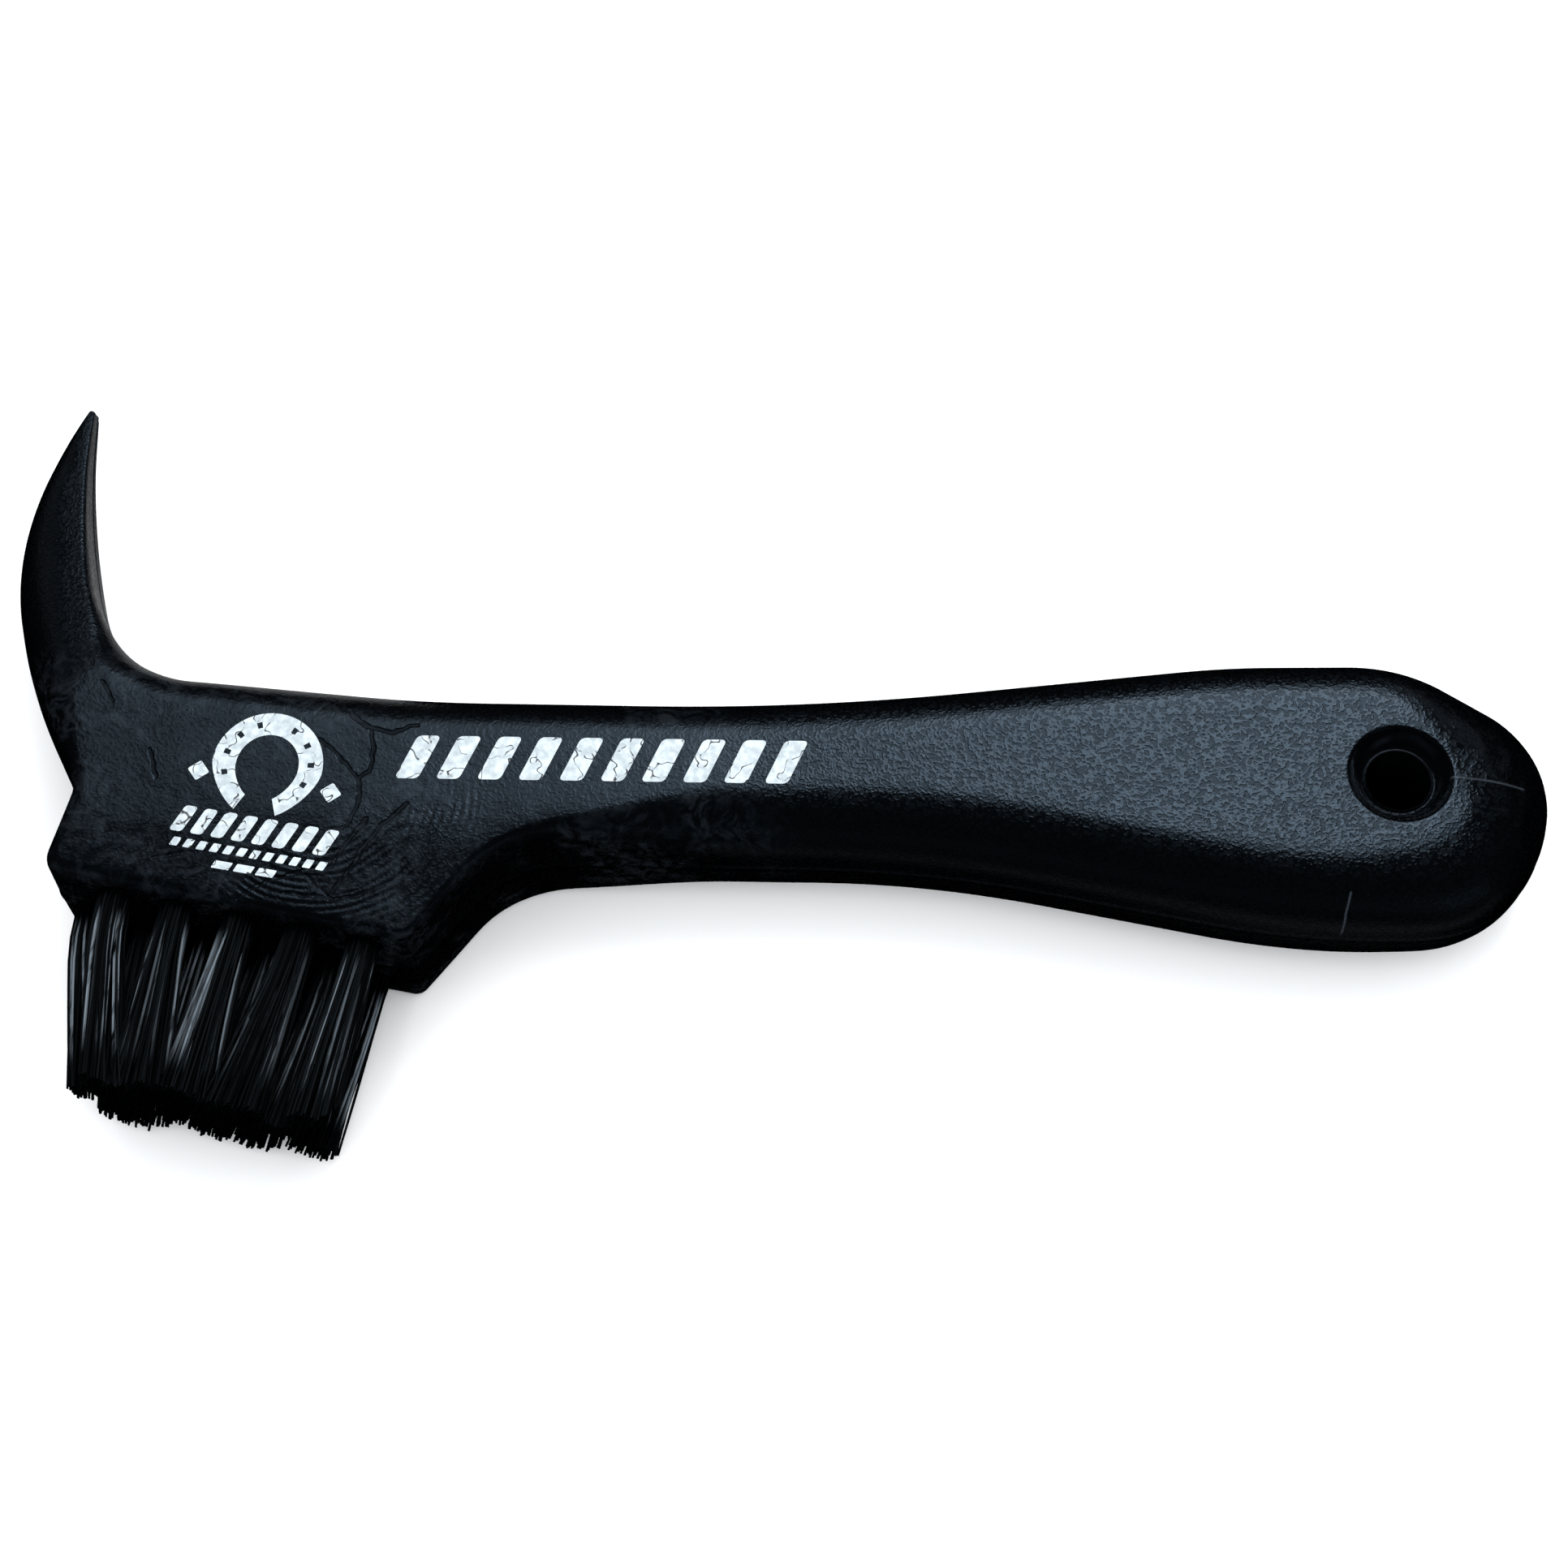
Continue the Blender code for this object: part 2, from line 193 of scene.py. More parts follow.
# The band of bars along the grip
BAND_CENTRE = (-17.4, -3.2)
BAND_TILT = math.radians(0.6)
BAND_LENGTH = 44.0
BAND_BARS = 10
BAR_WIDTH = 2.5
BAR_HEIGHT = 5.1
BAR_SLANT = 2.2
BAR_ROUNDING = 0.5
CORNER_STEPS = 4


def shape_object(name, points, faces, material, sharp_angle=SHARP_ANGLE):
    """A smooth-shaded mesh object whose points are given in millimetres."""
    mesh = bpy.data.meshes.new(name)
    mesh.from_pydata((np.asarray(points, float) * MM).tolist(), [], faces)
    shape = bmesh.new()
    shape.from_mesh(mesh)
    bmesh.ops.recalc_face_normals(shape, faces=shape.faces)
    shape.to_mesh(mesh)
    shape.free()
    mesh.shade_smooth()
    mesh.set_sharp_from_angle(angle=sharp_angle)
    if material:
        mesh.materials.append(material)
    made = bpy.data.objects.new(name, mesh)
    bpy.context.scene.collection.objects.link(made)
    return made


# ---------------------------------------------------------------- outline


def corner_arc(before, corner, after, radius):
    """Points and inward normals along the arc that rounds one corner."""
    back = (before - corner) / np.linalg.norm(before - corner)
    ahead = (after - corner) / np.linalg.norm(after - corner)
    inside = math.acos(float(np.clip(back @ ahead, -1.0, 1.0)))
    bisector = (back + ahead) / np.linalg.norm(back + ahead)
    centre = corner + bisector * radius / math.sin(inside / 2)
    start = corner + back * radius / math.tan(inside / 2)
    turn = math.pi - inside
    side = 1.0 if back[1] * ahead[0] - back[0] * ahead[1] > 0 else -1.0
    steps = max(2, math.ceil(turn / OUTLINE_TURN), math.ceil(radius * turn / OUTLINE_STEP))
    first = math.atan2(start[1] - centre[1], start[0] - centre[0])
    angles = first + side * turn * np.arange(steps + 1) / steps
    spokes = np.stack([np.cos(angles), np.sin(angles)], axis=1)
    return centre + radius * spokes, -side * spokes


def round_outline():
    """The outline's points and inward normals, and each point's edge width and edge share."""
    corners = [np.array(row[:2]) for row in OUTLINE]
    count = len(corners)
    arcs = [
        corner_arc(corners[i - 1], corners[i], corners[(i + 1) % count], OUTLINE[i][2])
        for i in range(count)
    ]
    points = []
    normals = []
    middles = []
    for i, (arc, arc_normals) in enumerate(arcs):
        last = arcs[i - 1][0][-1]
        run = arc[0] - last
        steps = max(1, math.ceil(np.linalg.norm(run) / OUTLINE_STEP))
        for k in range(1, steps):
            points.append(last + run * k / steps)
            normals.append(arc_normals[0])
        middles.append(len(points) + (len(arc) - 1) // 2)
        points.extend(arc)
        normals.extend(arc_normals)
    points = np.array(points)
    widths = blend_around(points, middles, [row[3] for row in OUTLINE])
    shares = blend_around(points, middles, [row[4] for row in OUTLINE])
    return points, np.array(normals), widths, shares


def blend_around(loop, marked, values):
    """Values known at some of a closed loop's points, eased by distance between them."""
    steps = np.linalg.norm(np.roll(loop, -1, axis=0) - loop, axis=1)
    travelled = np.concatenate([[0.0], np.cumsum(steps)])
    around = travelled[-1]
    places = np.append(travelled[marked], travelled[marked[0]] + around)
    values = np.append(values, values[0])
    place = travelled[:-1]
    place = np.where(place < places[0], place + around, place)
    left = np.clip(np.searchsorted(places, place, side="right") - 1, 0, len(marked) - 1)
    u = (place - places[left]) / (places[left + 1] - places[left])
    u = u * u * (3 - 2 * u)
    return values[left] * (1 - u) + values[left + 1] * u


def thinning(points):
    """The body's thickness at each point, as a share of its full thickness."""
    beyond = (points - np.array(HOOK_ROOT)) @ np.array(HOOK_DIRECTION)
    eased = np.maximum(0.0, beyond + HOOK_BLEND) ** 2 / (4 * HOOK_BLEND)
    beyond = np.where(beyond < HOOK_BLEND, eased, beyond)
    left = np.clip(1 - beyond / HOOK_REACH, 0.0, 1.0) ** HOOK_TAPER_POWER
    return (TIP_THICKNESS + (THICKNESS - TIP_THICKNESS) * left) / THICKNESS


# ---------------------------------------------------------------- body


def edge_rings():
    """Closed loops of points from the parting line up the flank and round the edge to the flat face."""
    points, normals, widths, shares = round_outline()
    rings = []
    for height, outset in PARTING_LINE:
        rings.append((points - normals * outset, np.full(len(points), height)))
    flank_tops = (1 - shares) * MIDDLE
    first = PARTING_LINE[-1][0]
    for k in range(1, FLANK_RINGS):
        heights = first + (flank_tops - first) * k / FLANK_RINGS
        rings.append((points + normals * (heights * DRAFT)[:, None], heights))
    for k in range(EDGE_RINGS + 1):
        angle = math.pi / 2 * k / EDGE_RINGS
        insets = flank_tops * DRAFT + widths * (1 - math.cos(angle))
        heights = flank_tops + shares * MIDDLE * math.sin(angle)
        rings.append((points + normals * insets[:, None], heights))
    return rings


def inside_polygon(samples, polygon):
    """Which samples lie inside the polygon, and how far each is from its edge."""
    start = polygon
    end = np.roll(polygon, -1, axis=0)
    x = samples[:, 0, None]
    y = samples[:, 1, None]
    straddles = (start[:, 1] > y) != (end[:, 1] > y)
    rise = np.where(end[:, 1] == start[:, 1], 1.0, end[:, 1] - start[:, 1])
    crossing = start[:, 0] + (y - start[:, 1]) / rise * (end[:, 0] - start[:, 0])
    inside = (straddles & (x < crossing)).sum(axis=1) % 2 == 1
    edge = end - start
    along = ((samples[:, None, :] - start) * edge).sum(axis=2) / (edge**2).sum(axis=1)
    nearest = start + np.clip(along, 0.0, 1.0)[..., None] * edge
    return inside, np.linalg.norm(samples[:, None, :] - nearest, axis=2).min(axis=1)


def circle(centre, radius, count, turn=0.0):
    angles = 2 * math.pi * (np.arange(count) + turn) / count
    return np.array(centre) + radius * np.stack([np.cos(angles), np.sin(angles)], axis=1)


def hole_section():
    """Radius and depth below the face, down the hang hole from its mouth to mid thickness."""
    outer = COUNTERSINK_RADIUS + HOLE_MOUTH_ROUNDING
    section = []
    for k in range(HOLE_MOUTH_STEPS + 1):
        angle = math.pi / 2 * k / HOLE_MOUTH_STEPS
        radius = outer - HOLE_MOUTH_ROUNDING * math.sin(angle)
        section.append((radius, HOLE_MOUTH_ROUNDING * (1 - math.cos(angle))))
    section.extend(HOLE_LIP)
    section.append((HOLE_RADIUS, MIDDLE))
    return section


def fill_face(rim, mouth):
    """Triangles between the face's rim and the hang hole's mouth, and the extra points they use."""
    low = rim.min(axis=0)
    high = rim.max(axis=0)
    rows = np.arange(low[1], high[1], FACE_GRID * math.sqrt(3) / 2)
    columns = np.arange(low[0], high[0], FACE_GRID)
    grid = np.array([(x + FACE_GRID / 2 * (i % 2), y) for i, y in enumerate(rows) for x in columns])
    inside, margin = inside_polygon(grid, rim)
    mouth_radius = np.linalg.norm(mouth[0] - HANG_HOLE_CENTRE)
    from_hole = np.linalg.norm(grid - HANG_HOLE_CENTRE, axis=1)
    extra = grid[inside & (margin > FACE_GRID_MARGIN) & (from_hole > mouth_radius + FACE_GRID)]
    collar = circle(HANG_HOLE_CENTRE, mouth_radius + HOLE_COLLAR, HOLE_SIDES, 0.5)
    extra = np.vstack([collar, extra])
    count = len(rim)
    flat = [Vector(point) for point in np.vstack([rim, mouth, extra])]
    hole_edges = [(count + k, count + (k + 1) % HOLE_SIDES) for k in range(HOLE_SIDES)]
    outside = [list(range(count))]
    filled = delaunay_2d_cdt(flat, hole_edges, outside, FILL_INSIDE, FILL_TOLERANCE)
    found, _, triangles, origins, _, _ = filled
    number = {i: origin[0] for i, origin in enumerate(origins)}
    centre = Vector(HANG_HOLE_CENTRE)
    kept = []
    for triangle in triangles:
        middle = sum((found[i] for i in triangle), Vector((0.0, 0.0))) / 3
        if (middle - centre).length > mouth_radius * math.cos(math.pi / HOLE_SIDES):
            kept.append(tuple(number[i] for i in triangle))
    return extra, kept


def body_shell():
    """Points and faces of the body's closed skin, before the tuft holes are cut."""
    rings = edge_rings()
    count = len(rings[0][0])
    rim_start = count * (len(rings) - 1)
    section = hole_section()
    mouth = circle(HANG_HOLE_CENTRE, section[0][0], HOLE_SIDES)
    extra, triangles = fill_face(rings[-1][0], mouth)
    hole = [(circle(HANG_HOLE_CENTRE, r, HOLE_SIDES), MIDDLE - d) for r, d in section]
    hole_plan = [ring for ring, _ in hole]
    hole_height = [np.full(HOLE_SIDES, height) for _, height in hole]
    plan = [ring for ring, _ in rings] + [hole_plan[0], extra] + hole_plan[1:]
    heights = [height for _, height in rings] + [hole_height[0], np.full(len(extra), MIDDLE)]
    plan = np.vstack(plan)
    heights = np.concatenate(heights + hole_height[1:]) * thinning(plan)
    total = len(plan)
    front = np.column_stack([plan, MIDDLE + heights])
    back = np.column_stack([plan, MIDDLE - heights])
    # the mid-plane loops, outside and in the bore, belong to both halves
    shared = set(range(count)) | set(range(total - HOLE_SIDES, total))
    back_of = []
    back_points = []
    for i in range(total):
        if i in shared:
            back_of.append(i)
        else:
            back_of.append(total + len(back_points))
            back_points.append(back[i])
    mouth_start = count * len(rings)
    hole_starts = [mouth_start] + [
        mouth_start + HOLE_SIDES + len(extra) + HOLE_SIDES * k for k in range(len(hole_plan) - 1)
    ]
    faces = []
    for index_of in (list(range(total)), back_of):
        for ring in range(len(rings) - 1):
            low = ring * count
            faces.extend(ring_quads(index_of, low, low + count, count))
        for low, high in zip(hole_starts, hole_starts[1:]):
            faces.extend(ring_quads(index_of, low, high, HOLE_SIDES))
        for triangle in triangles:
            faces.append([index_of[rim_start + k] for k in triangle])
    return np.vstack([front, back_points]), faces


def ring_quads(index_of, low, high, count):
    quads = []
    for i in range(count):
        j = (i + 1) % count
        quads.append([index_of[low + i], index_of[low + j], index_of[high + j], index_of[high + i]])
    return quads


def cylinder_mesh(stations, sides):
    """Points and faces of a closed solid turned about Z, from (height, radius) stations."""
    points = []
    for height, radius in stations:
        points.extend((*spoke, height) for spoke in circle((0.0, 0.0), radius, sides))
    faces = [list(range(sides))[::-1]]
    for ring in range(len(stations) - 1):
        low = ring * sides
        faces.extend(ring_quads(range(len(points)), low, low + sides, sides))
    faces.append([sides * (len(stations) - 1) + k for k in range(sides)])
    return np.array(points), faces


def make_body(material):
    points, faces = body_shell()
    body = shape_object("moulded_body", points, faces, material)
    stations = ((-TUFT_HOLE_DEPTH, TUFT_HOLE_RADIUS), (TUFT_CUTTER_RISE, TUFT_HOLE_RADIUS))
    points, faces = cylinder_mesh(stations, TUFT_HOLE_SIDES)
    all_points = []
    all_faces = []
    for _, _, _, mouth in tuft_places():
        first = len(all_points)
        all_points.extend(placed(points, brush_frame(mouth)))
        all_faces.extend([[first + k for k in face] for face in faces])
    cutter = shape_object("tuft_hole_cutter", all_points, all_faces, None)
    cut = body.modifiers.new("tuft_holes", "BOOLEAN")
    cut.operation = "DIFFERENCE"
    cut.solver = "EXACT"
    cut.object = cutter
    bpy.context.view_layer.update()
    depsgraph = bpy.context.evaluated_depsgraph_get()
    finished = bpy.data.meshes.new_from_object(body.evaluated_get(depsgraph))
    body.modifiers.clear()
    body.data = finished
    bpy.data.objects.remove(cutter, do_unlink=True)
    finished.shade_smooth()
    finished.set_sharp_from_angle(angle=SHARP_ANGLE)
    return body


# ---------------------------------------------------------------- bristles


def brush_directions():
    """Along the brush face towards the grip, and out of it."""
    run = np.subtract(BRUSH_RIGHT_CORNER, BRUSH_LEFT_CORNER)
    along = np.array([*run, 0.0]) / np.linalg.norm(run)
    outward = np.array([along[1], -along[0], 0.0])
    return along, outward


def tuft_places():
    """Each tuft's row, number, lean in degrees and the middle of its hole's mouth."""
    along, _ = brush_directions()
    places = []
    for row, level, shift, leans in TUFT_ROWS:
        for number in range(TUFTS_PER_ROW):
            pitches = TUFTS_PER_ROW - 1 - number + shift
            corner = np.array([*BRUSH_RIGHT_CORNER, MIDDLE + level * ROW_SPACING])
            mouth = corner - along * (LAST_TUFT_MARGIN + TUFT_PITCH * pitches)
            places.append((row, number + 1, leans[number], mouth))
    return places


def brush_frame(mouth):
    """A matrix whose Z points out of the brush face and whose X runs along it, in millimetres."""
    along, outward = brush_directions()
    across = np.cross(outward, along)
    columns = np.column_stack([along, across, outward])
    return Matrix.Translation(Vector(mouth)) @ Matrix(columns.tolist()).to_4x4()


def placed(points, matrix):
    """The points moved by the matrix."""
    turn = np.array(matrix.to_3x3())
    return np.asarray(points, float) @ turn.T + np.array(matrix.translation)


def swing(depth, degrees):
    """How far a filament has moved sideways: straight in its hole, then bending over to its lean."""
    slope = math.tan(math.radians(degrees))
    free = max(0.0, depth)
    if free < TUFT_BEND_LENGTH:
        return slope * free**2 / (2 * TUFT_BEND_LENGTH)
    return slope * (free - TUFT_BEND_LENGTH / 2)


def filament(spot, lean, length, bow, width):
    """Points of one tapered filament as closed rings, in its tuft's own frame.

    The bow holds how far its middle stands off each way, and the turn of its rings.
    """
    first = -FILAMENT_ROOT_DEPTH
    points = []
    for k in range(FILAMENT_STATIONS):
        share = k / (FILAMENT_STATIONS - 1)
        depth = first + (length - first) * share
        bend = math.sin(math.pi * max(0.0, depth) / length)
        x = spot[0] + swing(depth, lean[0]) + bow[0] * bend
        y = spot[1] + swing(depth, lean[1]) + bow[1] * bend
        radius = width * (1.0 - FILAMENT_TAPER * share)
        for spoke in circle((x, y), radius, FILAMENT_SIDES, bow[2]):
            points.append((*spoke, depth))
    return points


def filament_faces(first):
    """Faces of one filament whose points start at that index."""
    sides = FILAMENT_SIDES
    index_of = range(first + sides * FILAMENT_STATIONS)
    faces = [[first + k for k in range(sides)][::-1]]
    for ring in range(FILAMENT_STATIONS - 1):
        low = first + ring * sides
        faces.extend(ring_quads(index_of, low, low + sides, sides))
    last = first + sides * (FILAMENT_STATIONS - 1)
    faces.append([last + k for k in range(sides)])
    return faces


def trimmed_length(along_face, draw):
    """Free length of a filament whose tip lies that far along the brush face from its left corner."""
    ripple = sum(rise * math.exp(-(((along_face - place) / reach) ** 2)) for place, reach, rise in TRIM_WAVES)
    start, reach, depth, power = HOOK_SIDE_TRIM
    hook_side = depth * max(0.0, (start - along_face) / reach) ** power
    start, reach, depth, power = GRIP_SIDE_TRIM
    grip_side = depth * max(0.0, (along_face - start) / reach) ** power
    return FREE_LENGTH + ripple - hook_side - grip_side + draw.gauss(0.0, LENGTH_SPREAD)


def make_tuft(row, number, lean, mouth, material):
    """One tuft as its separate filaments, each a closed solid, with a shade for each in an attribute."""
    draw = random.Random(f"{row} {number}")
    along, _ = brush_directions()
    offset = float((mouth - np.array([*BRUSH_LEFT_CORNER, mouth[2]])) @ along)
    points = []
    faces = []
    shades = []
    for k in range(FILAMENTS_PER_TUFT):
        ring = math.sqrt((k + 0.5) / FILAMENTS_PER_TUFT)
        angle = k * math.pi * (3 - math.sqrt(5))
        spot = [TUFT_PACK_RADIUS * ring * math.cos(angle), TUFT_PACK_RADIUS * ring * math.sin(angle)]
        spread = FAN_ALONG
        if number == 1 and math.cos(angle) < 0:
            spread *= OUTER_FAN_SHARES[0]
        if number == TUFTS_PER_ROW and math.cos(angle) > 0:
            spread *= OUTER_FAN_SHARES[1]
        fan = [spread * ring * math.cos(angle), FAN_ACROSS * ring * math.sin(angle)]
        leans = (lean + fan[0] + draw.gauss(0.0, STRAY_LEAN), fan[1] + draw.gauss(0.0, STRAY_LEAN))
        tip = offset + spot[0] + swing(FREE_LENGTH, leans[0])
        length = trimmed_length(tip, draw)
        bow = (draw.gauss(0.0, FILAMENT_BOW), draw.gauss(0.0, FILAMENT_BOW), draw.random())
        first = len(points)
        width = FILAMENT_RADIUS * draw.uniform(*FILAMENT_WIDTHS)
        points.extend(filament(spot, leans, length, bow, width))
        faces.extend(filament_faces(first))
        shades.extend([draw.random()] * (len(points) - first))
    tuft = shape_object(f"bristles_{row}_{number}", placed(points, brush_frame(mouth)), faces, material)
    shade = tuft.data.attributes.new("filament_shade", "FLOAT", "POINT")
    shade.data.foreach_set("value", shades)
    return tuft


# ---------------------------------------------------------------- prints


def turned(points, centre, angle):
    """Flat points turned by the angle and moved to the centre."""
    c = math.cos(angle)
    s = math.sin(angle)
    return [(centre[0] + c * x - s * y, centre[1] + s * x + c * y) for x, y in points]


def rounded_bar(width, height, radius, slant=0.0):
    """Outline of a bar about its own middle, leaning by slant at its top, with rounded corners."""
    corners = [(-width / 2, -height / 2), (width / 2, -height / 2)]
    corners += [(width / 2, height / 2), (-width / 2, height / 2)]
    outline = []
    for i, (x, y) in enumerate(corners):
        middle_x = x - math.copysign(radius, x)
        middle_y = y - math.copysign(radius, y)
        for k in range(CORNER_STEPS + 1):
            angle = math.pi * (1 + i / 2) + math.pi / 2 * k / CORNER_STEPS
            px = middle_x + radius * math.cos(angle)
            py = middle_y + radius * math.sin(angle)
            outline.append((px + slant * py / height, py))
    return outline


def ink_layer(name, outlines, material):
    """Printed shapes as thin closed plates just above the front face, from outlines in its plane."""
    low = THICKNESS + INK_GAP
    points = []
    faces = []
    for outline in outlines:
        first = len(points)
        count = len(outline)
        points.extend((x, y, low) for x, y in outline)
        points.extend((x, y, low + INK_THICKNESS) for x, y in outline)
        faces.append([first + k for k in range(count)][::-1])
        faces.append([first + count + k for k in range(count)])
        faces.extend(ring_quads(range(first + 2 * count), first, first + count, count))
    return shape_object(name, points, faces, material)


def horseshoe_rows():
    """The horseshoe's cell corners, one row across its band for each step from heel to heel."""
    rows = []
    for k in range(HORSESHOE_STEPS + 1):
        turn = FIRST_HEEL + HEEL_TO_HEEL * k / HORSESHOE_STEPS
        below = max(0.0, -math.sin(turn))
        narrow = 1.0 - HEEL_NARROWING * below**HEEL_NARROWING_POWER
        thick = HORSESHOE_BAND * (1.0 - HEEL_NARROWING * below)
        row = []
        for lane in HORSESHOE_LANES:
            inset = thick * lane
            x = (HORSESHOE_WIDTH / 2 - inset) * math.cos(turn) * narrow
            y = (HORSESHOE_HEIGHT / 2 - inset) * math.sin(turn)
            row.append((x, y))
        rows.append(turned(row, HORSESHOE_CENTRE, MARK_TILT))
    return rows


def plate_from_cells(name, rows, material):
    """A thin closed plate over a strip of cells, with the nail holes' cells left open."""
    lanes = len(rows[0])
    low = THICKNESS + INK_GAP
    points = [(x, y, low) for row in rows for x, y in row]
    count = len(points)
    points += [(x, y, low + INK_THICKNESS) for row in rows for x, y in row]
    shape = bmesh.new()
    corners = [shape.verts.new(np.array(point) * MM) for point in points]
    for k in range(len(rows) - 1):
        for lane in range(lanes - 1):
            if lane == NAIL_LANE and k in NAIL_STEPS:
                continue
            a = k * lanes + lane
            loop = (a, a + 1, a + lanes + 1, a + lanes)
            shape.faces.new([corners[i] for i in loop])
    open_edges = [edge for edge in shape.edges if edge.is_boundary]
    base = list(shape.faces)
    for edge in open_edges:
        a, b = edge.verts
        over = [corners[corners.index(v) + count] for v in (b, a)]
        shape.faces.new([a, b, *over])
    for face in base:
        shape.faces.new([corners[corners.index(v) + count] for v in face.verts])
    loose = [v for v in shape.verts if not v.link_faces]
    bmesh.ops.delete(shape, geom=loose, context="VERTS")
    bmesh.ops.recalc_face_normals(shape, faces=shape.faces)
    mesh = bpy.data.meshes.new(name)
    shape.to_mesh(mesh)
    shape.free()
    mesh.shade_smooth()
    mesh.set_sharp_from_angle(angle=SHARP_ANGLE)
    mesh.materials.append(material)
    made = bpy.data.objects.new(name, mesh)
    bpy.context.scene.collection.objects.link(made)
    return made


def row_of_bars(bar, count, pitch, centre, angle):
    """The same outline side by side along a line, about the line's centre."""
    shifts = [(k - (count - 1) / 2) * pitch for k in range(count)]
    return [turned([(x + shift, y) for x, y in bar], centre, angle) for shift in shifts]


def make_prints(material):
    emblem = plate_from_cells("horseshoe_print", horseshoe_rows(), material)
    spot = rounded_bar(SPOT_SIZE, SPOT_SIZE, SPOT_ROUNDING)
    outlines = [turned(spot, centre, MARK_TILT + math.pi / 4) for centre in SPOT_CENTRES]
    for centre, length, height, count, gap in DASHED_LINES:
        pitch = length / count
        dash = rounded_bar(pitch - gap, height, DASH_ROUNDING * height, DASH_SLANT * height)
        outlines.extend(row_of_bars(dash, count, pitch, centre, MARK_TILT))
    lines = ink_layer("dashed_print", outlines, material)
    bar = rounded_bar(BAR_WIDTH, BAR_HEIGHT, BAR_ROUNDING, BAR_SLANT)
    bars = row_of_bars(bar, BAND_BARS, BAND_LENGTH / BAND_BARS, BAND_CENTRE, BAND_TILT)
    return [emblem, lines, ink_layer("band_print", bars, material)]


# ---------------------------------------------------------------- materials


class Graph:
    """A material's nodes, with short calls for the ones used here."""

    def __init__(self, name):
        self.material = bpy.data.materials.new(name)
        self.material.use_nodes = True
        self.tree = self.material.node_tree
        self.shader = self.tree.nodes["Principled BSDF"]

    def feed(self, socket, value):
        """Links another node's output to the socket, or sets the socket's own value."""
        if isinstance(value, bpy.types.NodeSocket):
            self.tree.links.new(value, socket)
        else:
            socket.default_value = value

    def node(self, kind, inputs=(), **settings):
        made = self.tree.nodes.new(kind)
        for key, value in settings.items():
            setattr(made, key, value)
        for key, value in dict(inputs).items():
            self.feed(made.inputs[key], value)
        return made

    def math(self, operation, *values, clamp=False):
        made = self.tree.nodes.new("ShaderNodeMath")
        made.operation = operation
        made.use_clamp = clamp
        for socket, value in zip(made.inputs, values):
            self.feed(socket, value)
        return made.outputs[0]

    def vector(self, operation, first, second, output="Vector"):
        made = self.node("ShaderNodeVectorMath", operation=operation)
        self.feed(made.inputs[0], first)
        self.feed(made.inputs[1], second)
        return made.outputs[output]

    def product(self, *values):
        """All the values multiplied together."""
        total = values[0]
        for value in values[1:]:
            total = self.math("MULTIPLY", total, value)
        return total

    def combined(self, x, y, z):
        return self.node("ShaderNodeCombineXYZ", {"X": x, "Y": y, "Z": z}).outputs[0]

    def wobble(self, place, scale, reach):
        """The place pushed about by a soft noise, by up to half the reach each way."""
        noise = self.node("ShaderNodeTexNoise", {"Vector": place, "Scale": scale, "Detail": 1.0})
        centred = self.vector("SUBTRACT", noise.outputs["Color"], (0.5, 0.5, 0.5))
        return self.vector("ADD", place, self.vector("MULTIPLY", centred, (2 * reach, 2 * reach, 0.0)))

    def millimetres(self, stretch=(1.0, 1.0, 1.0), turn=0.0):
        """The place on the piece in millimetres, turned about Z, then stretched along each axis."""
        place = self.node("ShaderNodeTexCoord").outputs["Object"]
        mapping = self.node("ShaderNodeMapping", {"Vector": place})
        mapping.vector_type = "POINT"
        mapping.inputs["Rotation"].default_value = (0.0, 0.0, turn)
        mapping.inputs["Scale"].default_value = (1000.0, 1000.0, 1000.0)
        return self.vector("MULTIPLY", mapping.outputs[0], stretch)

    def axes(self, vector):
        return self.node("ShaderNodeSeparateXYZ", {"Vector": vector}).outputs

    def noise(self, where, scale, detail=2.0, roughness=0.5, distortion=0.0):
        inputs = {"Vector": where, "Scale": scale, "Detail": detail}
        inputs.update({"Roughness": roughness, "Distortion": distortion})
        return self.node("ShaderNodeTexNoise", inputs).outputs["Fac"]

    def ramp(self, value, low, high, to_low=0.0, to_high=1.0):
        """Eases from to_low to to_high as the value goes from low to high."""
        made = self.node("ShaderNodeMapRange", interpolation_type="SMOOTHSTEP")
        for key, number in (("Value", value), ("From Min", low), ("From Max", high)):
            self.feed(made.inputs[key], number)
        made.inputs["To Min"].default_value = to_low
        made.inputs["To Max"].default_value = to_high
        return made.outputs[0]

    def tint(self, share, first, second):
        """A colour between two, by share."""
        made = self.node("ShaderNodeMix", data_type="RGBA")
        self.feed(made.inputs["Factor"], share)
        self.feed(made.inputs["A"], (*first, 1.0))
        self.feed(made.inputs["B"], (*second, 1.0))
        return made.outputs["Result"]

    def bump(self, height, distance, before=None):
        """Surface relief: a height from 0 to 1 over a distance in millimetres."""
        made = self.node("ShaderNodeBump", {"Height": height})
        made.inputs["Distance"].default_value = distance * MM
        if before:
            self.feed(made.inputs["Normal"], before)
        return made.outputs["Normal"]

    def finish(self, **inputs):
        for key, value in inputs.items():
            self.feed(self.shader.inputs[key.replace("_", " ")], value)
        return self.material


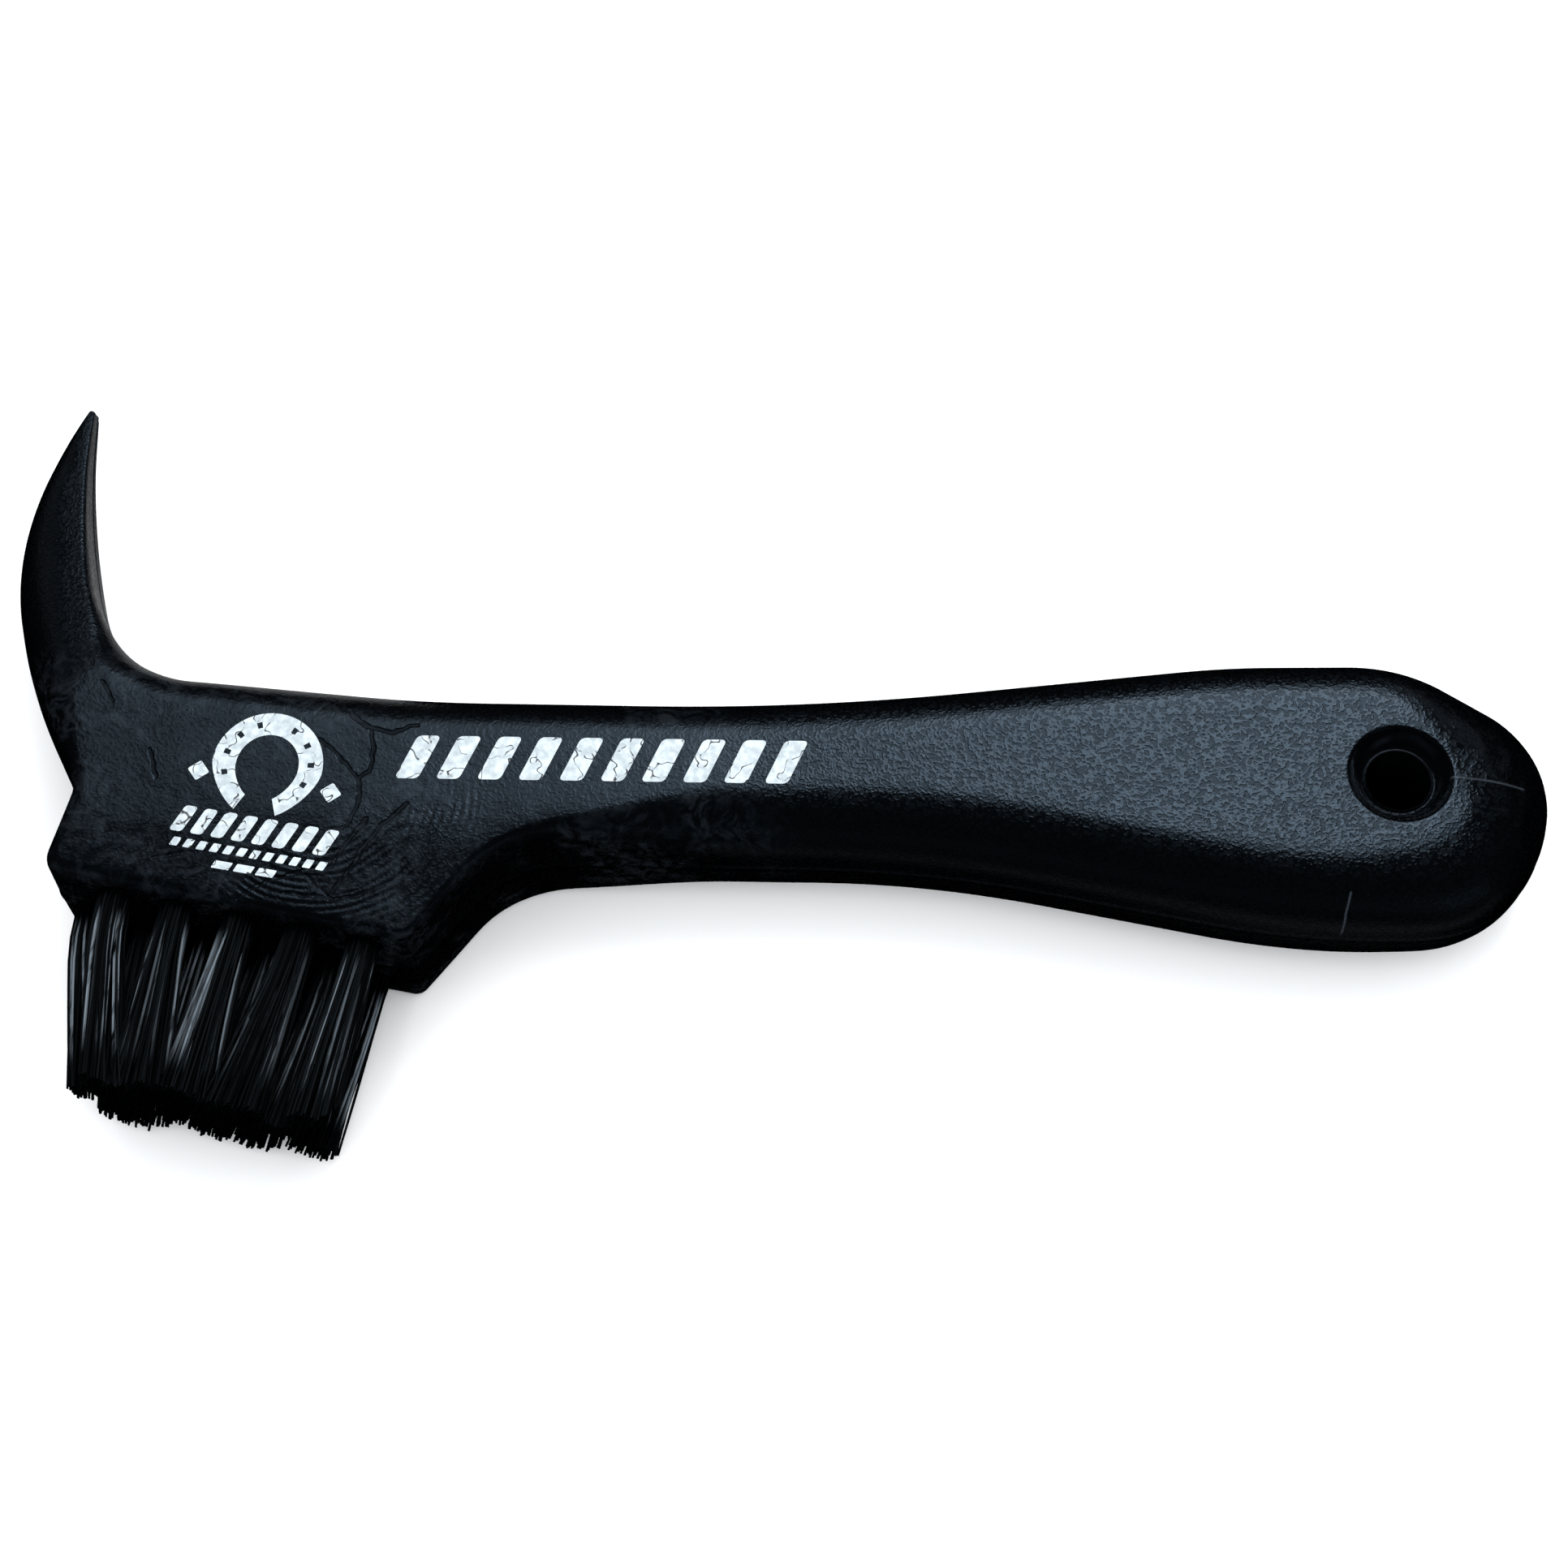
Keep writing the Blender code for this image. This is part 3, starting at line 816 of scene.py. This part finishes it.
def stroke_distance(graph, place, paths):
    """How far each place lies from the nearest of some polylines, in millimetres."""
    nearest = None
    for path in paths:
        for start, end in zip(path, path[1:]):
            run = Vector((end[0] - start[0], end[1] - start[1], 0.0))
            length = run.length
            local = graph.vector("SUBTRACT", place, (*start, 0.0))
            forward = graph.vector("DOT_PRODUCT", local, tuple(run / length), output="Value")
            forward = graph.math("MINIMUM", graph.math("MAXIMUM", forward, 0.0), length)
            foot = graph.vector("MULTIPLY", graph.combined(forward, forward, 0.0), tuple(run / length))
            gap = graph.vector("DISTANCE", local, foot, output="Value")
            nearest = gap if nearest is None else graph.math("MINIMUM", nearest, gap)
    return nearest


# Fine creases of the moulding round the emblem's place, on the front face
CREASES = (
    ((-48.0, -1.4), (-46.1, -3.1), (-43.3, -6.2), (-43.1, -9.1), (-44.2, -11.7), (-45.5, -12.1)),
    ((-43.3, -6.0), (-42.2, -5.2), (-42.0, -2.4), (-42.6, -0.1), (-45.0, 2.1)),
    ((-37.9, -9.0), (-40.4, -11.3), (-42.2, -14.2), (-43.3, -16.5), (-45.2, -19.4)),
    ((-42.1, -10.9), (-44.2, -13.9), (-45.5, -16.5)),
    ((-54.9, -20.2), (-51.8, -18.1), (-47.6, -16.9), (-45.6, -16.5)),
    ((-64.4, -15.9), (-62.1, -15.5), (-59.8, -15.1)),
    ((-66.1, -3.2), (-65.1, -6.4)),
    ((-50.0, -19.5), (-45.3, -20.1), (-42.7, -19.9), (-39.8, -18.5)),
    ((-44.8, 1.7), (-43.0, -0.1), (-40.2, -0.5), (-37.6, 0.4)),
    ((-48.1, -17.5), (-46.8, -18.7), (-45.3, -20.1)),
    ((-72.2, 4.8), (-70.7, 2.5)),
)
WELD_LINE = (((73.8, -2.84), (81.6, -3.5)),)
SCRATCH = (((62.5, -16.0), (62.2, -17.6), (62.3, -19.2)),)
# The face falls away past this place in this direction, more and more towards the grip's end
SINK_DIRECTION = (1.0, 0.35, 0.0)
SINK_START = 70.5
# The head's face slopes away below this place
DIP_START = -10.5
# The flow marks run as arcs round this point, on its side towards the head's lower right corner
FLOW_CENTRE = (-47.3, -7.3, 0.0)
FLOW_SIDE = (0.45, -0.89, 0.0)
FLOW_PITCH = 0.85

# Where the material changes, in millimetres: the grain begins on the grip and on the hook, and marks that
# are only on the front face fade in below it
GRIP_GRAIN = (-9.0, 6.0)
HOOK_GRAIN = (36.0, 44.0)
HOOK_GRAIN_SLOPE = -0.4
FRONT_FACE = (15.0, 16.5)
SCRATCHED_EDGE = (9.5, 11.0)

# How far each kind of relief stands out, in millimetres, or its slope where it is a long fall
GRAIN_RELIEF = 0.060
WAVE_RELIEF = 0.13
DIP_SLOPE = 0.105
CLOUD_RELIEF = 0.024
FLOW_RELIEF = 0.020
CREASE_DEPTH = 0.12
SINK_FALL = 0.016
MARK_RELIEF = 0.03

PLASTIC_BLACK = (0.0006, 0.0008, 0.0012)
# The pale colour holds the head's painted sheen patches and the lighter weld line and scratch
PAINTED_SHEEN_AND_MARK_COLOUR = (0.030, 0.037, 0.046)
PLASTIC_SHEEN = (0.54, 0.76, 1.0, 1.0)
SMOOTH_ROUGHNESS = 0.32
GRAINED_ROUGHNESS = 0.38


class BodyPlaces:
    """Where the body's grain, its smooth head, its hang hole and its front face are, for its material."""

    def __init__(self, graph):
        self.place = graph.millimetres()
        self.flat = graph.millimetres((1.0, 1.0, 0.0))
        self.x, self.y, self.z = graph.axes(self.place)
        drift = graph.math("SUBTRACT", graph.noise(self.place, 0.35, 2.0), 0.5)
        edge = graph.math("ADD", self.x, graph.math("MULTIPLY", drift, 8.0))
        along_hook = graph.math("ADD", self.y, graph.math("MULTIPLY", self.x, HOOK_GRAIN_SLOPE))
        grained = graph.math("MAXIMUM", graph.ramp(edge, *GRIP_GRAIN), graph.ramp(along_hook, *HOOK_GRAIN))
        from_hole = graph.vector("DISTANCE", self.flat, (*HANG_HOLE_CENTRE, 0.0), output="Value")
        mouth = COUNTERSINK_RADIUS + HOLE_MOUTH_ROUNDING
        self.in_hole = graph.ramp(from_hole, COUNTERSINK_RADIUS, mouth, 1.0, 0.0)
        self.smooth = graph.math("SUBTRACT", 1.0, grained)
        self.grained = graph.math("MULTIPLY", grained, graph.math("SUBTRACT", 1.0, self.in_hole))
        self.front = graph.ramp(self.z, *FRONT_FACE)


def spark_grain(graph, at):
    """A net of short glossy ridges between small dull pits, weaker on the head: relief, and ridges."""
    contours = graph.math("ABSOLUTE", graph.math("SUBTRACT", graph.noise(at.place, 1.25, 1.5, 0.6), 0.5))
    ridges = graph.ramp(contours, 0.02, 0.13, 1.0, 0.0)
    fine = graph.noise(at.place, 3.4, 1.0, 0.6)
    grain = graph.math("ADD", graph.math("MULTIPLY", ridges, 0.30), graph.math("MULTIPLY", fine, 0.60))
    strength = graph.ramp(at.grained, 0.0, 1.0, 0.5, 1.0)
    return graph.bump(graph.product(grain, strength), GRAIN_RELIEF), graph.product(ridges, strength)


def head_relief(graph, at, relief, clouds):
    """Long soft waves, a face that slopes away towards the brush, and small clouds."""
    fade = graph.ramp(at.x, -38.0, -27.0, 1.0, 0.4)
    waves = graph.product(graph.noise(at.place, 0.20, 3.0, 0.55, 0.6), at.smooth, fade)
    relief = graph.bump(waves, WAVE_RELIEF, relief)
    bent_y = graph.axes(graph.wobble(at.flat, 0.08, 1.5))[1]
    dip = graph.math("SMOOTH_MIN", graph.math("SUBTRACT", bent_y, DIP_START), 0.0, 5.0)
    relief = graph.bump(graph.product(dip, at.smooth), DIP_SLOPE, relief)
    return graph.bump(graph.product(clouds, at.smooth), CLOUD_RELIEF, relief)


def flow_relief(graph, at, relief):
    """Broken arcs where the plastic flowed round the head's corner."""
    from_flow = graph.vector("DISTANCE", graph.wobble(at.flat, 0.09, 0.9), FLOW_CENTRE, output="Value")
    beside = graph.vector("SUBTRACT", at.flat, FLOW_CENTRE)
    beside = graph.vector("DOT_PRODUCT", beside, FLOW_SIDE, output="Value")
    reach = graph.product(graph.ramp(beside, 4.0, 8.5), graph.ramp(from_flow, 13.5, 19.0, 1.0, 0.0))
    arcs = graph.math("SINE", graph.math("MULTIPLY", from_flow, 2 * math.pi / FLOW_PITCH))
    broken = graph.ramp(graph.noise(at.place, 0.30, 2.0), 0.32, 0.52)
    return graph.bump(graph.product(arcs, reach, broken, at.front), FLOW_RELIEF, relief)


def end_relief(graph, at, relief):
    """The face falling away at the grip's end, the weld line there and one scratch: relief, and marks."""
    weld = graph.ramp(stroke_distance(graph, at.flat, WELD_LINE), 0.06, 0.20, 1.0, 0.0)
    scratch = graph.ramp(stroke_distance(graph, at.flat, SCRATCH), 0.05, 0.18, 1.0, 0.0)
    scratch = graph.product(scratch, graph.ramp(at.z, *SCRATCHED_EDGE))
    marks = graph.math("MAXIMUM", graph.product(weld, at.front), scratch)
    fall = graph.vector("DOT_PRODUCT", graph.wobble(at.flat, 0.3, 1.2), SINK_DIRECTION, output="Value")
    fall = graph.math("MAXIMUM", graph.math("SUBTRACT", fall, SINK_START), 0.0)
    relief = graph.bump(graph.product(fall, fall), -SINK_FALL, relief)
    return graph.bump(marks, MARK_RELIEF, relief), marks


def body_plastic():
    """Black plastic: a spark-eroded grain on the grip and a smoother head with flow marks and creases, and
    paler patches of painted sheen on the head.
    """
    graph = Graph("body_plastic")
    at = BodyPlaces(graph)
    relief, ridges = spark_grain(graph, at)
    clouds = graph.noise(graph.wobble(at.place, 0.25, 3.0), 0.75, 4.0, 0.65)
    relief = head_relief(graph, at, relief, clouds)
    relief = flow_relief(graph, at, relief)
    wavering = graph.wobble(at.flat, 0.8, 0.35)
    creases = graph.ramp(stroke_distance(graph, wavering, CREASES), 0.09, 0.32, 1.0, 0.0)
    creases = graph.product(creases, at.front)
    relief = graph.bump(creases, -CREASE_DEPTH, relief)
    relief, marks = end_relief(graph, at, relief)

    # Paler cloudy patches on the smooth head are painted sheen, standing in for its uneven reflection; the
    # weld line and scratch are added to them as real marks
    banks = graph.ramp(graph.noise(at.place, 0.11, 2.0, 0.5, 0.8), 0.40, 0.62)
    painted_sheen = graph.product(graph.ramp(clouds, 0.40, 0.68), banks, at.smooth, 0.20)
    pale = graph.math("MAXIMUM", painted_sheen, graph.math("MULTIPLY", marks, 0.55))
    rough = graph.ramp(at.grained, 0.0, 1.0, SMOOTH_ROUGHNESS, GRAINED_ROUGHNESS)
    rough = graph.math("SUBTRACT", rough, graph.math("MULTIPLY", ridges, 0.18))
    rough = graph.math("ADD", rough, graph.product(creases, graph.ramp(at.y, -15.5, -13.0, 0.0, 0.42)))
    rough = graph.math("SUBTRACT", rough, graph.math("MULTIPLY", at.in_hole, 0.12))
    return graph.finish(
        Base_Color=graph.tint(pale, PLASTIC_BLACK, PAINTED_SHEEN_AND_MARK_COLOUR),
        Roughness=rough,
        Specular_Tint=PLASTIC_SHEEN,
        Normal=relief,
    )


def bristle_nylon():
    """Black nylon filaments: most dull, a few glossy and given a paler colour of painted highlight, left out
    near the roots where the head's shade falls and fading out towards the tips.
    """
    graph = Graph("bristle_nylon")
    along, outward = brush_directions()
    angle = math.atan2(along[1], along[0])
    place = graph.millimetres((1.0, 0.12, 1.0), -angle)
    corner = np.array([*BRUSH_RIGHT_CORNER, 0.0])
    depth = graph.vector("DOT_PRODUCT", graph.millimetres(), tuple(outward), output="Value")
    depth = graph.math("SUBTRACT", depth, float(corner @ outward))
    shade = graph.node("ShaderNodeAttribute", attribute_name="filament_shade").outputs["Fac"]
    # Painted highlight: streaks of paler colour along a few filaments, which also get a lower roughness
    painted_highlight_streak = graph.noise(place, 1.4, 3.0, 0.6)
    # The painted highlight stops short of the roots, which lie in the head's shade, and fades out towards the
    # tips
    painted_highlight_span = graph.math("MULTIPLY", graph.ramp(depth, 1.5, 4.5), graph.ramp(depth, 13.5, 18.5, 1.0, 0.0))
    glossy = graph.math("MULTIPLY", graph.ramp(shade, 0.66, 0.98), graph.ramp(painted_highlight_streak, 0.30, 0.55))
    glossy = graph.math("MULTIPLY", glossy, painted_highlight_span)
    relief = graph.bump(graph.noise(place, 6.0, 2.0), 0.01)
    return graph.finish(
        Base_Color=graph.tint(glossy, (0.0005, 0.0007, 0.0010), (0.115, 0.137, 0.158)),
        Roughness=graph.ramp(glossy, 0.0, 0.6, 0.60, 0.26),
        Specular_IOR_Level=0.2,
        Specular_Tint=(0.66, 0.84, 1.0, 1.0),
        Normal=relief,
    )


def anchor_steel():
    """Bright drawn wire with fine lines along it."""
    graph = Graph("anchor_wire")
    place = graph.millimetres((0.4, 6.0, 6.0))
    lines = graph.noise(place, 1.5, 3.0, 0.6)
    return graph.finish(
        Base_Color=graph.tint(lines, (0.50, 0.50, 0.49), (0.70, 0.70, 0.68)),
        Metallic=1.0,
        Roughness=graph.ramp(lines, 0.2, 0.8, 0.26, 0.42),
        Normal=graph.bump(lines, 0.01),
    )


def print_ink():
    """White ink, slightly uneven, with fine worn hairlines where the plastic shows."""
    graph = Graph("print_ink")
    place = graph.millimetres()
    uneven = graph.noise(place, 1.1, 3.0, 0.6)
    contour = graph.math("ABSOLUTE", graph.math("SUBTRACT", graph.noise(place, 0.28, 2.0, 0.6), 0.5))
    worn = graph.math("MULTIPLY", graph.ramp(contour, 0.004, 0.014, 1.0, 0.0), graph.ramp(uneven, 0.40, 0.52))
    ink = graph.tint(graph.ramp(uneven, 0.3, 0.7), (0.33, 0.38, 0.41), (0.50, 0.565, 0.595))
    mixed = graph.node("ShaderNodeMix", {"Factor": worn}, data_type="RGBA")
    graph.feed(mixed.inputs["A"], ink)
    graph.feed(mixed.inputs["B"], (0.03, 0.035, 0.042, 1.0))
    return graph.finish(
        Base_Color=mixed.outputs["Result"],
        Roughness=0.55,
        Normal=graph.bump(graph.noise(place, 5.0, 2.0), 0.01),
    )


def floor_paint():
    """Matt pale paint with a slow drift."""
    graph = Graph("floor_paint")
    place = graph.millimetres()
    drift = graph.noise(place, 0.004, 2.0)
    return graph.finish(
        Base_Color=graph.tint(drift, (0.90, 0.90, 0.90), (0.93, 0.93, 0.93)),
        Roughness=0.9,
    )


# ---------------------------------------------------------------- stage


FLOOR_HALF = 6000.0
WORLD_COLOUR = (0.96, 0.98, 1.0, 1.0)
WORLD_STRENGTH = 1.7
SKY_DISTANCE = 900.0
SKY_ELEVATION = 55.0
SKY_HEIGHT = 560.0
# Each panel's name, its left and right edges and its radiance
SKY_PANELS = (
    ("sky_far_left", -330.0, -180.0, 1.15),
    ("sky_left", -180.0, -42.0, 0.85),
    ("sky_middle", -42.0, 38.0, 2.4),
    ("sky_right", 38.0, 110.0, 4.8),
    ("sky_far_right", 110.0, 345.0, 5.1),
)
FRONT_FILL_ELEVATION = 8.0
FRONT_FILL_SIZE = (1500.0, 260.0)
FRONT_FILL_RADIANCE = 0.04
# Each side panel's name, azimuth, elevation and radiance
SIDE_PANELS = (
    ("rear_left_panel", 222.0, 16.0, 0.12),
    ("rear_right_panel", 138.0, 16.0, 0.18),
    ("front_right_panel", 45.0, 14.0, 0.12),
    ("front_left_panel", -45.0, 14.0, 0.08),
)
SIDE_PANEL_SIZE = (560.0, 300.0)
# Low glows under the piece: how far below their centres they lie, and each one's name, centre, size along
# X and Y, and radiance
GLOW_DEPTH = 2.0
TABLE_GLOWS = (
    ("table_glow", (60.0, -32.0, 0.0), (130.0, 16.0), 0.06),
    ("hook_glow", (-60.0, 36.0, 0.0), (34.0, 52.0), 0.35),
)
CAMERA_TARGET = (2.1, -1.5, 8.75)
CAMERA_TILT = math.radians(25.0)
CAMERA_AZIMUTH = math.radians(1.5)
CAMERA_DISTANCE = 345.9
CAMERA_LENS = 72.14
SENSOR = 36.0


def make_floor(material):
    half = FLOOR_HALF
    corners = [(-half, -half, 0.0), (half, -half, 0.0), (half, half, 0.0), (-half, half, 0.0)]
    floor = shape_object("floor", corners, [[0, 1, 2, 3]], material)
    floor.visible_glossy = False
    return floor


def direction(azimuth, elevation):
    """A unit vector from the object, azimuth 0 towards -Y and 90 towards +X, in degrees."""
    a = math.radians(azimuth)
    e = math.radians(elevation)
    return Vector((math.sin(a) * math.cos(e), -math.cos(a) * math.cos(e), math.sin(e)))


def area_light(name, azimuth, elevation, distance, size, radiance, shift=(0.0, 0.0, 0.0)):
    """A soft rectangular light. Its brightness is given as seen, so size and distance set what it gives."""
    data = bpy.data.lights.new(name, "AREA")
    data.shape = "RECTANGLE"
    data.size = size[0] * MM
    data.size_y = size[1] * MM
    data.energy = radiance * math.pi * data.size * data.size_y
    lamp = bpy.data.objects.new(name, data)
    bpy.context.scene.collection.objects.link(lamp)
    away = direction(azimuth, elevation)
    lamp.location = (Vector(shift) + away * distance) * MM
    lamp.rotation_euler = away.to_track_quat("Z", "Y").to_euler()
    lamp.visible_camera = False
    return lamp


def make_lights():
    world = bpy.data.worlds.new("studio")
    bpy.context.scene.world = world
    world.use_nodes = True
    background = world.node_tree.nodes["Background"]
    background.inputs["Color"].default_value = WORLD_COLOUR
    background.inputs["Strength"].default_value = WORLD_STRENGTH
    world.cycles_visibility.glossy = False
    # one tall soft window, dimmer towards the hook's side
    for name, left, right, radiance in SKY_PANELS:
        size = (right - left, SKY_HEIGHT)
        shift = ((left + right) / 2, 0.0, 0.0)
        area_light(name, 180, SKY_ELEVATION, SKY_DISTANCE, size, radiance, shift)
    fill = ("front_fill", 0, FRONT_FILL_ELEVATION, SKY_DISTANCE, FRONT_FILL_SIZE, FRONT_FILL_RADIANCE)
    area_light(*fill)
    # weak sheets of light all round, which show the form from the other sides
    for name, azimuth, elevation, radiance in SIDE_PANELS:
        area_light(name, azimuth, elevation, SKY_DISTANCE, SIDE_PANEL_SIZE, radiance)
    # low glows that stand for the bright table close to the piece: they shine up and only show as sheen
    for name, centre, size, radiance in TABLE_GLOWS:
        glow = area_light(name, 0, -90, GLOW_DEPTH, size, radiance, centre)
        glow.visible_diffuse = False


def make_camera():
    data = bpy.data.cameras.new("camera")
    data.sensor_width = SENSOR
    data.lens = CAMERA_LENS
    camera = bpy.data.objects.new("camera", data)
    bpy.context.scene.collection.objects.link(camera)
    tilt = math.sin(CAMERA_TILT)
    back = Vector((math.sin(CAMERA_AZIMUTH) * tilt, -math.cos(CAMERA_AZIMUTH) * tilt, math.cos(CAMERA_TILT)))
    camera.location = (Vector(CAMERA_TARGET) + back * CAMERA_DISTANCE) * MM
    camera.rotation_euler = back.to_track_quat("Z", "Y").to_euler()
    bpy.context.scene.camera = camera


# ---------------------------------------------------------------- put together


def stand_for(piece, slot, *nodes):
    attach(piece, BODY)
    if nodes:
        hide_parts(*nodes)


def main():
    make_camera()
    make_lights()
    make_floor(floor_paint())
    bpy.context.scene.view_settings.view_transform = "Standard"
    stand_for(make_body(body_plastic()), "body_plastic", "body")
    nylon = bristle_nylon()
    for row, number, lean, mouth in tuft_places():
        tuft = make_tuft(row, number, lean, mouth, nylon)
        stand_for(tuft, "bristle_nylon", f"tuft_{row}_{number}")
    for piece in make_prints(print_ink()):
        stand_for(piece, "print_ink")
    steel = anchor_steel()
    for name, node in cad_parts.items():
        if name.startswith("anchor_"):
            for spot in node.material_slots:
                spot.material = steel


main()
